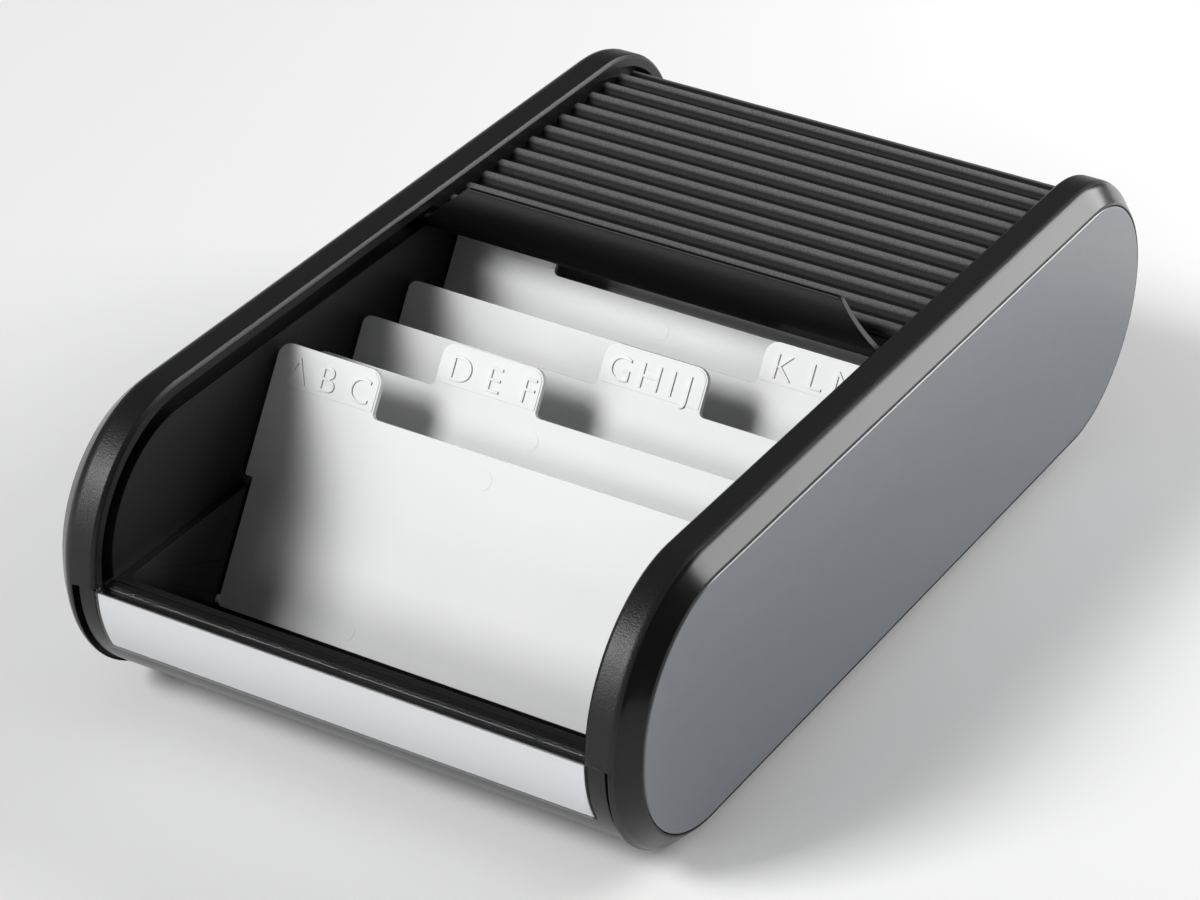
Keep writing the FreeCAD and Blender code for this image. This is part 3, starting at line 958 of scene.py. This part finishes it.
@dataclass
class DividerSet(Assembly):
    """White index dividers: a shouldered plate with a raised tab, two pins and raised letters."""

    count: int = 8
    pitch: float = 18.6 * MM
    lean: float = 30.0
    first_pin: Point = (0.0, -79.5 * MM, 11.1 * MM)
    thickness: float = 1.4 * MM
    foot: float = 1.3 * MM
    ledge: float = 27.0 * MM
    shoulder: float = 46.4 * MM
    top: float = 56.4 * MM
    lower_half: float = 54.6 * MM
    upper_half: float = 56.6 * MM
    tabs: tuple[Range, ...] = ((-56.6, -31.0), (-27.4, -2.7), (1.5, 26.2), (29.9, 54.6))
    tab_raise: float = 0.14 * MM
    tab_margin: float = 0.4 * MM
    tab_radius: float = 3.0 * MM
    tab_fillet: float = 1.2 * MM
    shoulder_radius: float = 2.0 * MM
    foot_radius: float = 1.0 * MM
    ledge_radius: float = 0.5 * MM
    pin_radius: float = 1.0 * MM
    pin_length: float = 1.8 * MM
    pin_root: float = 0.3 * MM
    pin_sides: int = 24
    mark_radius: float = 2.3 * MM
    mark_relief: float = 0.05 * MM
    marks: tuple[Range, ...] = ((-23.7, 2.7), (-2.5, 41.4))
    ease_width: float = 0.1 * MM
    baseline: float = 48.6 * MM
    letter_size: float = 8.06 * MM
    letter_relief: float = 0.3 * MM
    letter_thin: float = -0.12 * MM
    letter_edge: float = 0.035 * MM
    rows: tuple[Row, ...] = (
        (("A", -50.8), ("B", -43.4), ("C", -35.4)),
        (("D", -22.0), ("E", -13.9), ("F", -5.6)),
        (("G", 6.0), ("H", 13.2), ("I", 18.5), ("J", 22.4)),
        (("K", 35.0), ("L", 42.8), ("M", 49.6)),
        (("N", -51.6), ("O", -44.1), ("P", -36.5)),
        (("Q", -22.2), ("R", -13.9), ("S", -6.2)),
        (("T", 6.6), ("U", 13.9), ("V", 21.2)),
        (("W", 34.0), ("X", 40.2), ("Y", 45.6), ("Z", 50.7)),
    )

    def seat(self, index: int) -> Matrix:
        """Frame of a divider: X across, Y up its front face, Z out of that face, from the pins.

        Args:
            index: which divider, from the front.

        Returns:
            The matrix from that frame to the drawer's.
        """
        pin = Vector(self.first_pin) + Vector((0, index * self.pitch, 0))
        turn = Matrix.Rotation(math.radians(90 - self.lean), 4, "X")
        return Matrix.Translation(pin) @ turn

    def corners(self, left: float, right: float) -> list[tuple[float, float, float]]:
        """Lists the corners of a divider's outline.

        Args:
            left: the tab's left edge.
            right: its right edge.

        Returns:
            Each corner as (x, y, radius).
        """
        lower, upper = self.lower_half, self.upper_half
        listed = [(right, self.shoulder, self.tab_fillet), (right, self.top, self.tab_radius)]
        listed.append((left, self.top, self.tab_radius))
        listed.append((upper, self.shoulder, self.ledge_radius))
        if left > -upper:
            listed.append((left, self.shoulder, self.tab_fillet))
            listed.append((-upper, self.shoulder, self.shoulder_radius))
        for side in (-1, 1):
            listed.append((side * lower, -self.foot, self.foot_radius))
            listed.append((side * lower, self.ledge, self.ledge_radius))
            listed.append((side * upper, self.ledge, self.ledge_radius))
        return listed

    def panel(self, left: float, right: float) -> Workpiece:
        """Models the low raised panel that carries a tab's letters.

        Args:
            left: the tab's left edge.
            right: its right edge.

        Returns:
            The panel, a little back from the tab's edges.
        """
        left, right = left + self.tab_margin, right - self.tab_margin
        foot, top = self.shoulder + self.tab_fillet, self.top - self.tab_margin
        low = (left, foot, self.thickness / 2 - self.tab_raise)
        panel = Workpiece.block("panel", low, (right, top, self.thickness / 2 + self.tab_raise))
        panel.edit()
        for x in (left, right):
            panel.round_corner(x, top, self.tab_radius - self.tab_margin)
            panel.round_corner(x, foot, self.tab_margin)
        panel.ease(self.tab_raise / 2)
        return panel

    def outline(self, left: float, right: float) -> Workpiece:
        """Models the bare plate: extruded upwards step by step, then rounded at its corners.

        Args:
            left: the tab's left edge.
            right: its right edge.

        Returns:
            The plate with its tab.
        """
        lower, upper, half = self.lower_half, self.upper_half, self.thickness / 2
        plate = Workpiece.block("plate", (-lower, -self.foot, -half), (lower, self.ledge, half))
        plate.edit()
        plate.pick(lambda at, normal: normal.y > FACING)
        plate.extrude((0, 0, 0))
        bpy.ops.transform.resize(value=(upper / lower, 1, 1), center_override=(0, self.ledge, 0))
        plate.extrude((0, self.shoulder - self.ledge, 0))
        for edge in (left, right):
            if edge > -upper:
                bpy.ops.mesh.select_all(action="SELECT")
                bpy.ops.mesh.bisect(plane_co=(edge, 0, 0), plane_no=(1, 0, 0))
        plate.pick(lambda at, normal: normal.y > FACING and at.y > self.ledge and left < at.x < right)
        plate.extrude((0, self.top - self.shoulder, 0))
        for x, y, radius in self.corners(left, right):
            plate.round_corner(x, y, radius)
        plate.ease(self.ease_width)
        return plate

    def pin(self, side: int) -> Workpiece:
        """Models one pivot pin, let a little way into the plate's edge.

        Args:
            side: -1 for the left, 1 for the right.

        Returns:
            The pin.
        """
        length = self.pin_length + self.pin_root
        middle = side * (self.lower_half + (self.pin_length - self.pin_root) / 2)
        pin = Workpiece.disc("pin", self.pin_radius, length, (0, 0, 0), self.pin_sides)
        pin.ease(self.ease_width)
        pin.settle(Matrix.Translation((middle, 0, 0)) @ Matrix.Rotation(math.pi / 2, 4, "Y"))
        return pin

    def mark(self, x: float, y: float) -> Workpiece:
        """Models one round ejector mark, low on the plate's face.

        Args:
            x: its place across.
            y: its place upwards.

        Returns:
            The mark.
        """
        place = (x, y, self.thickness / 2)
        mark = Workpiece.disc("mark", self.mark_radius, 2 * self.mark_relief, place, ROUND_SIDES)
        mark.ease(self.mark_relief / 2)
        return mark

    def plate(self, index: int) -> Workpiece:
        """Models one divider flat in its own frame.

        Args:
            index: which divider, from the front.

        Returns:
            The plate with its tab, pins and ejector marks.
        """
        left, right = (edge * MM for edge in self.tabs[index % len(self.tabs)])
        parts = [self.outline(left, right), self.panel(left, right)]
        parts += [self.pin(side) for side in (-1, 1)]
        parts += [self.mark(x * MM, y * MM) for x, y in self.marks]
        return Workpiece.joined(parts, f"index_plate_{index + 1}")

    def letters(self, index: int) -> Workpiece:
        """Models one tab's letters in shallow relief, in the divider's own frame.

        Args:
            index: which divider, from the front.

        Returns:
            The letters, joined to one mesh.
        """
        made = []
        face = self.thickness / 2 + self.tab_raise
        for letter, middle in self.rows[index]:
            Workpiece.clear()
            bpy.ops.object.text_add()
            text = bpy.context.object
            text.data.body = letter
            text.data.align_x = "CENTER"
            text.data.size = self.letter_size
            text.data.extrude = self.letter_relief
            text.data.offset = self.letter_thin
            text.data.bevel_depth = self.letter_edge
            bpy.ops.object.convert(target="MESH")
            made.append(Workpiece(bpy.context.object))
            made[-1].settle(Matrix.Translation((middle * MM, self.baseline, face)))
        joined = Workpiece.joined(made, f"letters_{index + 1}")
        joined.edit()
        bpy.ops.mesh.select_all(action="SELECT")
        bpy.ops.mesh.remove_doubles(threshold=MERGE)
        bpy.ops.mesh.normals_make_consistent(inside=False)
        return joined

    def build(self) -> None:
        """Finishes every divider and its letters."""
        for index in range(self.count):
            body = f"index_{index + 1}"
            plate = self.plate(index)
            plate.settle(self.seat(index))
            plate.smooth()
            self.dress(plate, Look.DIVIDER, body, f"divider_{index + 1}")
            letters = self.letters(index)
            letters.settle(self.seat(index))
            letters.smooth()
            self.dress(letters, Look.DIVIDER, body)


@dataclass(frozen=True)
class Softbox:
    """One rectangular lamp: its place and aim in metres, its width and height, and its watts."""

    name: str
    place: Point
    aim: Point
    size: Range
    power: float


SOFTBOXES = (
    Softbox("key_front_left", place=(-1.36, -2.1, 2.1), aim=(0, 0, 0), size=(1.0, 1.0), power=76),
    Softbox("low_front_left", place=(-1.05, -2.2, 0.85), aim=(0, 0, 0.03), size=(1.4, 0.7), power=15),
    Softbox("right_rear", place=(0.45, 0.68, 0.37), aim=(0, 0.05, 0.05), size=(0.6, 0.45), power=6.5),
)


@dataclass
class Studio:
    """Pale floor, soft light and the camera."""

    ambient: float = 0.13
    floor_size: float = 12.0
    floor_colour: Colour = (0.95, 0.95, 0.95)
    floor_roughness: float = 0.9
    azimuth: float = 29.256
    elevation: float = 30.873
    roll: float = 1.581
    distance: float = 923.2 * MM
    lens: float = 127.52
    sensor: float = 36.0
    target: Point = (0.0, 0.0, 34.9 * MM)
    shift_right: float = -7.36 * MM
    shift_up: float = -8.33 * MM

    def camera(self) -> None:
        """Stands the camera where the drawer is seen from its front right, a little from above."""
        azimuth, elevation = math.radians(self.azimuth), math.radians(self.elevation)
        back = Vector((
            math.sin(azimuth) * math.cos(elevation),
            -math.cos(azimuth) * math.cos(elevation),
            math.sin(elevation),
        ))
        level = Vector((math.cos(azimuth), math.sin(azimuth), 0))
        turn = Matrix.Rotation(math.radians(self.roll), 3, back)
        right = turn @ level
        up = back.cross(right)
        place = Vector(self.target) + back * self.distance
        place += right * self.shift_right + up * self.shift_up
        lens = bpy.data.cameras.new("camera")
        lens.lens = self.lens
        lens.sensor_width = self.sensor
        camera = bpy.data.objects.new("camera", lens)
        camera.matrix_world = Matrix.Translation(place) @ Matrix((right, up, back)).transposed().to_4x4()
        bpy.context.collection.objects.link(camera)
        bpy.context.scene.camera = camera

    def floor(self) -> None:
        """Lays the pale floor."""
        bpy.ops.object.select_all(action="DESELECT")
        bpy.ops.mesh.primitive_plane_add(size=self.floor_size, location=(0, 0, 0))
        floor = bpy.context.object
        floor.name = "floor"
        shader = Shader("floor_pale")
        shader.set(Base_Color=(*self.floor_colour, 1), Roughness=self.floor_roughness)
        floor.data.materials.append(shader.material)

    def lamp(self, softbox: Softbox) -> None:
        """Hangs one softbox.

        Args:
            softbox: where it hangs and how it shines.
        """
        light = bpy.data.lights.new(softbox.name, "AREA")
        light.shape = "RECTANGLE"
        light.size, light.size_y = softbox.size
        light.energy = softbox.power
        lamp = bpy.data.objects.new(softbox.name, light)
        away = (Vector(softbox.place) - Vector(softbox.aim)).normalized()
        turn = away.to_track_quat("Z", "Y").to_matrix().to_4x4()
        lamp.matrix_world = Matrix.Translation(softbox.place) @ turn
        bpy.context.collection.objects.link(lamp)

    def build(self) -> None:
        """Sets the whole studio up."""
        bpy.context.scene.view_settings.view_transform = "Standard"
        world = bpy.data.worlds.new("studio")
        world.use_nodes = True
        background = world.node_tree.nodes["Background"]
        background.inputs["Color"].default_value = (1, 1, 1, 1)
        background.inputs["Strength"].default_value = self.ambient
        bpy.context.scene.world = world
        self.floor()
        for softbox in SOFTBOXES:
            self.lamp(softbox)
        self.camera()


def main() -> None:
    """Builds the drawer's looks and the studio."""
    logging.basicConfig(level=logging.INFO)
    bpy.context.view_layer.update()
    materials = {finish.look: finish.build() for finish in FINISHES}
    for assembly in (Housing, LabelFront, Shutter, DividerSet):
        assembly(materials).build()
    Studio().build()


if __name__ == "__main__":
    main()
